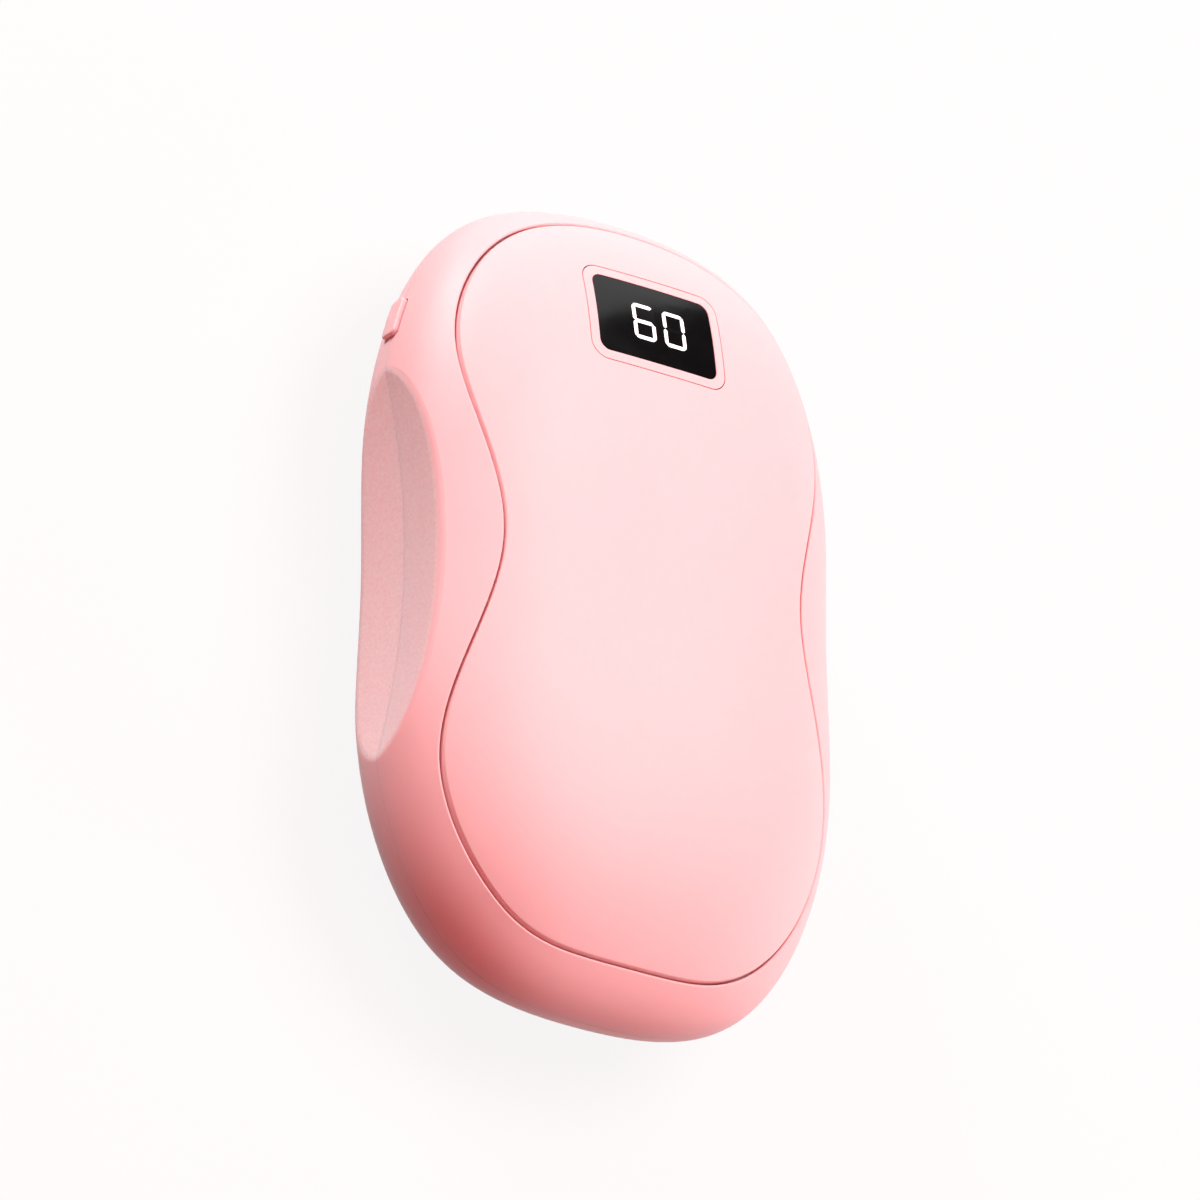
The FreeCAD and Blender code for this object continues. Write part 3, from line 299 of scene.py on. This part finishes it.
# Gold-plated copper: warm and bright, dulled in streaks where plugs have rubbed along it.
gilt_copper, tree, shader, coords = new_material("gold_plated_copper")
lines = add(tree, "ShaderNodeMapping", {"Scale": (1.0, 0.1, 1.0)}, {"Vector": (coords, "Object")})
rubbing = add(tree, "ShaderNodeTexNoise", {"Scale": 1 / (0.15 * MM), "Detail": 2.0}, {"Vector": (lines, 0)})
tint = add(tree, "ShaderNodeMix", {"data_type": "RGBA", 6: linear("#D8A94A"), 7: linear("#E8C674")},
           {"Factor": (rubbing, "Fac")})
tree.links.new(tint.outputs[2], shader.inputs["Base Color"])
rub = add(tree, "ShaderNodeMapRange", {"To Min": 0.2, "To Max": 0.4}, {"Value": (rubbing, "Fac")})
tree.links.new(rub.outputs[0], shader.inputs["Roughness"])
shader.inputs["Metallic"].default_value = 1.0

CONTACTS_A_FACE = 12
CONTACT_PITCH = 0.5 * MM
CONTACT_SIZE = Vector((0.25, 2.6, 0.05)) * MM
CONTACT_FROM_TIP = 0.7 * MM
CONTACT_EDGE = 0.012 * MM

tongue_low, tongue_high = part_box("usb_tongue")
contact_y = tongue_high[1] - CONTACT_FROM_TIP - CONTACT_SIZE.y / 2
strips = bmesh.new()
for face_z in (tongue_low[2], tongue_high[2]):
    for count in range(CONTACTS_A_FACE):
        contact_x = (count - (CONTACTS_A_FACE - 1) / 2) * CONTACT_PITCH
        seat = Matrix.Translation((contact_x, contact_y, face_z)) @ Matrix.Diagonal((*CONTACT_SIZE, 1.0))
        bmesh.ops.create_cube(strips, size=1.0, matrix=seat)
bmesh.ops.bevel(strips, geom=strips.edges[:], offset=CONTACT_EDGE, segments=2, affect="EDGES")
strip_mesh = bpy.data.meshes.new("socket_contacts")
strips.to_mesh(strip_mesh)
strips.free()
strip_mesh.materials.append(gilt_copper)
contacts = bpy.data.objects.new("socket_contacts", strip_mesh)
bpy.context.collection.objects.link(contacts)
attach(contacts, "case")


# Main board.
# A green circuit board that fills the upper end behind the display, screwed to the cradle. It carries the
# charging socket, the switch, two chips, a coil and the socket for the battery wires.

dress(green_laminate, "main_board")
dress(black_moulding, "board_chips")
dress(natural_nylon, "battery_connector")

# Pressed ferrite: grey-black and grainy, with 0.15 mm powder.
pressed_ferrite, tree, shader, coords = new_material("pressed_ferrite")
powder = add(tree, "ShaderNodeTexVoronoi", {"Scale": 1 / (0.15 * MM)}, {"Vector": (coords, "Object")})
tint = add(tree, "ShaderNodeMix", {"data_type": "RGBA", 6: linear("#2B2B2D"), 7: linear("#454548")},
           {"Factor": (powder, "Distance")})
tree.links.new(tint.outputs[2], shader.inputs["Base Color"])
shader.inputs["Roughness"].default_value = 0.7
dress(pressed_ferrite, "power_inductor")


# Battery, cradle and foam.
# A flat pouch cell in a nylon cradle that the case screws clamp between the halves. A foam pad on each side
# keeps its heat apart from the plates.

dress(natural_nylon, "battery_cradle")

# Laminated aluminium pouch: matt silver with shallow creases a few millimetres apart.
pouch_foil, tree, shader, coords = new_material("laminated_aluminium_pouch")
crease = add(tree, "ShaderNodeTexNoise", {"Scale": 1 / (5 * MM), "Detail": 4.0, "Distortion": 0.6},
             {"Vector": (coords, "Object")})
tint = add(tree, "ShaderNodeMix", {"data_type": "RGBA", 6: linear("#B9BBBE"), 7: linear("#D2D4D6")},
           {"Factor": (crease, "Fac")})
tree.links.new(tint.outputs[2], shader.inputs["Base Color"])
bump = add(tree, "ShaderNodeBump", {"Strength": 0.3, "Distance": 0.2 * MM}, {"Height": (crease, "Fac")})
tree.links.new(bump.outputs["Normal"], shader.inputs["Normal"])
shader.inputs["Roughness"].default_value = 0.4
shader.inputs["Metallic"].default_value = 1.0
dress(pouch_foil, "battery_cell")

# Closed-cell foam: dull grey, pitted by cut bubbles about 0.6 mm across.
cell_foam, tree, shader, coords = new_material("closed_cell_grey_foam")
bubbles = add(tree, "ShaderNodeTexVoronoi", {"Scale": 1 / (0.6 * MM)}, {"Vector": (coords, "Object")})
tint = add(tree, "ShaderNodeMix", {"data_type": "RGBA", 6: linear("#55565A"), 7: linear("#77787C")},
           {"Factor": (bubbles, "Distance")})
tree.links.new(tint.outputs[2], shader.inputs["Base Color"])
bump = add(tree, "ShaderNodeBump", {"Strength": 0.6, "Distance": 0.2 * MM}, {"Height": (bubbles, "Distance")})
tree.links.new(bump.outputs["Normal"], shader.inputs["Normal"])
shader.inputs["Roughness"].default_value = 0.9
dress(cell_foam, "front_foam", "rear_foam")


# Heating films, sensors and wires.
# A polyimide film with etched tracks is bonded behind each plate, with a bead-like heat sensor on it.
# Silicone-covered wires run from the films and the cell to the board.

dress(amber_film, "front_heater", "rear_heater")
dress(black_moulding, "thermistors")

# Extruded silicone: satin, with a faint bloom.
white_silicone, tree, shader, coords = new_material("extruded_white_silicone")
bloom = add(tree, "ShaderNodeTexNoise", {"Scale": 1 / (1.0 * MM), "Detail": 2.0},
            {"Vector": (coords, "Object")})
tint = add(tree, "ShaderNodeMix", {"data_type": "RGBA", 6: linear("#DCDAD4"), 7: linear("#EBE9E4")},
           {"Factor": (bloom, "Fac")})
tree.links.new(tint.outputs[2], shader.inputs["Base Color"])
shader.inputs["Roughness"].default_value = 0.5
dress(white_silicone, "front_heater_leads", "rear_heater_leads")

# The same silicone dyed red, for the wires of the cell.
red_silicone, tree, shader, coords = new_material("extruded_red_silicone")
bloom = add(tree, "ShaderNodeTexNoise", {"Scale": 1 / (1.0 * MM), "Detail": 2.0},
            {"Vector": (coords, "Object")})
tint = add(tree, "ShaderNodeMix", {"data_type": "RGBA", 6: linear("#A81E1E"), 7: linear("#BE2C2A")},
           {"Factor": (bloom, "Fac")})
tree.links.new(tint.outputs[2], shader.inputs["Base Color"])
shader.inputs["Roughness"].default_value = 0.5
dress(red_silicone, "battery_leads")


# Screws.
# Four pan-head screws clamp the case through the cradle, under the rear plate, and two hold the main board.
# They are cold-headed steel with rolled threads, nickel-plated like the socket.

dress(plated_steel, "case_screws", "board_screws")


# Floor, light and camera.
# The hand warmer lies on its back on a pale floor, under soft studio lamps, and the camera looks down on it
# from below its left side, turned so that the display is upright.

VIEW_RIGHT = Vector((0.8198, 0.0015, 0.5727))
VIEW_UP = Vector((-0.2342, 0.9134, 0.3329))
VIEW_BACK = Vector((-0.5226, -0.4070, 0.7491))
FRONT_CROWN = Vector((0, 0.72, 29.0)) * MM
CAMERA_DISTANCE = 1.612
FOCAL_PIXELS = 13432.0
IMAGE_PIXELS = 1200
CROWN_PIXEL = (664.03, 576.91)
SENSOR_MM = 36.0

off_x = (CROWN_PIXEL[0] - IMAGE_PIXELS / 2) / FOCAL_PIXELS
off_y = (IMAGE_PIXELS / 2 - CROWN_PIXEL[1]) / FOCAL_PIXELS
back = (VIEW_BACK + VIEW_RIGHT * off_x + VIEW_UP * off_y).normalized()
right = VIEW_UP.cross(back).normalized()
up = back.cross(right)
turn = Matrix((right, up, back)).transposed().to_4x4()

camera_data = bpy.data.cameras.new("camera")
camera_data.sensor_width = SENSOR_MM
camera_data.lens = FOCAL_PIXELS / IMAGE_PIXELS * SENSOR_MM
camera_data.clip_end = 20
camera = bpy.data.objects.new("camera", camera_data)
camera.matrix_world = Matrix.Translation(FRONT_CROWN + VIEW_BACK * CAMERA_DISTANCE) @ turn
bpy.context.collection.objects.link(camera)
bpy.context.scene.camera = camera

bpy.ops.mesh.primitive_plane_add(size=12, location=(0, 0, -0.02 * MM))
floor = bpy.context.object
floor.name = "floor"

# Matt paper: nearly white where it is seen, and grey for the light it throws back, so shadows stay deep.
paper, tree, shader, coords = new_material("matt_white_paper")
output = next(node for node in tree.nodes if node.type == "OUTPUT_MATERIAL")
path = add(tree, "ShaderNodeLightPath")
glossy = add(tree, "ShaderNodeMath", {"operation": "MAXIMUM"},
             {0: (path, "Is Camera Ray"), 1: (path, "Is Glossy Ray")})
seen = add(tree, "ShaderNodeMath", {"operation": "MAXIMUM"},
           {0: (glossy, 0), 1: (path, "Is Transmission Ray")})
mottle = add(tree, "ShaderNodeTexNoise", {"Scale": 1 / (40 * MM), "Detail": 3.0},
             {"Vector": (coords, "Object")})
pale = add(tree, "ShaderNodeMix", {"data_type": "RGBA", 6: linear("#E2E0E0"), 7: linear("#E8E6E6")},
           {"Factor": (mottle, "Fac")})
tint = add(tree, "ShaderNodeMix", {"data_type": "RGBA", 6: linear("#464444")},
           {"Factor": (seen, 0), 7: (pale, 2)})
tree.links.new(tint.outputs[2], shader.inputs["Base Color"])
shader.inputs["Roughness"].default_value = 0.9
share = add(tree, "ShaderNodeMath", {"operation": "MULTIPLY", 1: 0.88}, {0: (seen, 0)})
white = add(tree, "ShaderNodeEmission", {"Color": (1, 1, 1, 1), "Strength": 1.0})
blend = add(tree, "ShaderNodeMixShader",
            links={"Fac": (share, 0), 1: (shader, "BSDF"), 2: (white, "Emission")})
tree.links.new(blend.outputs[0], output.inputs["Surface"])
floor.data.materials.append(paper)


def aim(azimuth, elevation):
    """The direction from the case at two angles in degrees, round from +X and up from the floor."""
    flat = math.cos(math.radians(elevation))
    turned = math.radians(azimuth)
    return Vector((math.cos(turned) * flat, math.sin(turned) * flat, math.sin(math.radians(elevation))))


def lamp(name, azimuth, elevation, width, level):
    """A square soft lamp 0.8 m from the case; at level 1 alone it shows a colour as it is written."""
    distance = 0.8
    toward = aim(azimuth, elevation)
    data = bpy.data.lights.new(name, "AREA")
    data.size = width
    data.energy = level * math.pi ** 2 * distance ** 2
    obj = bpy.data.objects.new(name, data)
    obj.location = Vector((0, 0, 14 * MM)) + toward * distance
    obj.rotation_euler = toward.to_track_quat("Z", "Y").to_euler()
    bpy.context.collection.objects.link(obj)
    return obj


lamp("overhead_key", 41, 66, 0.5, 0.82)
lamp("left_side_light", 124, 14, 0.3, 0.82)
edge_light = lamp("right_edge_light", 340, 11, 0.3, 0.46)
edge_light.visible_glossy = False  # a low lamp, whose glare along the plate would clip to white

# A black card beyond the upper right, seen only in reflections, keeps most of the polished window dark.
bpy.ops.mesh.primitive_plane_add(size=0.475)
card = bpy.context.object
card.name = "black_card"
toward = aim(30, 30)
card.location = Vector((0, 35 * MM, 25 * MM)) + toward * 0.6
card.rotation_euler = toward.to_track_quat("Z", "Y").to_euler()
card.visible_camera = False
card.visible_diffuse = False
card.visible_shadow = False
black_paper, tree, shader, coords = new_material("matt_black_paper")
fibre = add(tree, "ShaderNodeTexNoise", {"Scale": 1 / (2 * MM), "Detail": 2.0},
            {"Vector": (coords, "Object")})
tint = add(tree, "ShaderNodeMix", {"data_type": "RGBA", 6: linear("#050505"), 7: linear("#0C0C0C")},
           {"Factor": (fibre, "Fac")})
tree.links.new(tint.outputs[2], shader.inputs["Base Color"])
shader.inputs["Roughness"].default_value = 1.0
card.data.materials.append(black_paper)

# The room shows white, and fills the shadows with weak red light, as pink things round the case would.
world = bpy.data.worlds.new("studio")
bpy.context.scene.world = world
world.use_nodes = True
tree = world.node_tree
tree.nodes.clear()
path = add(tree, "ShaderNodeLightPath")
glossy = add(tree, "ShaderNodeMath", {"operation": "MAXIMUM"},
             {0: (path, "Is Camera Ray"), 1: (path, "Is Glossy Ray")})
seen = add(tree, "ShaderNodeMath", {"operation": "MAXIMUM"},
           {0: (glossy, 0), 1: (path, "Is Transmission Ray")})
room = add(tree, "ShaderNodeBackground", {"Color": (1.0, 0.215, 0.205, 1), "Strength": 0.63})
white = add(tree, "ShaderNodeBackground", {"Color": (1, 1, 1, 1), "Strength": 1.0})
blend = add(tree, "ShaderNodeMixShader", links={"Fac": (seen, 0), 1: (room, 0), 2: (white, 0)})
add(tree, "ShaderNodeOutputWorld", links={"Surface": (blend, 0)})

bpy.context.scene.view_settings.view_transform = "Standard"
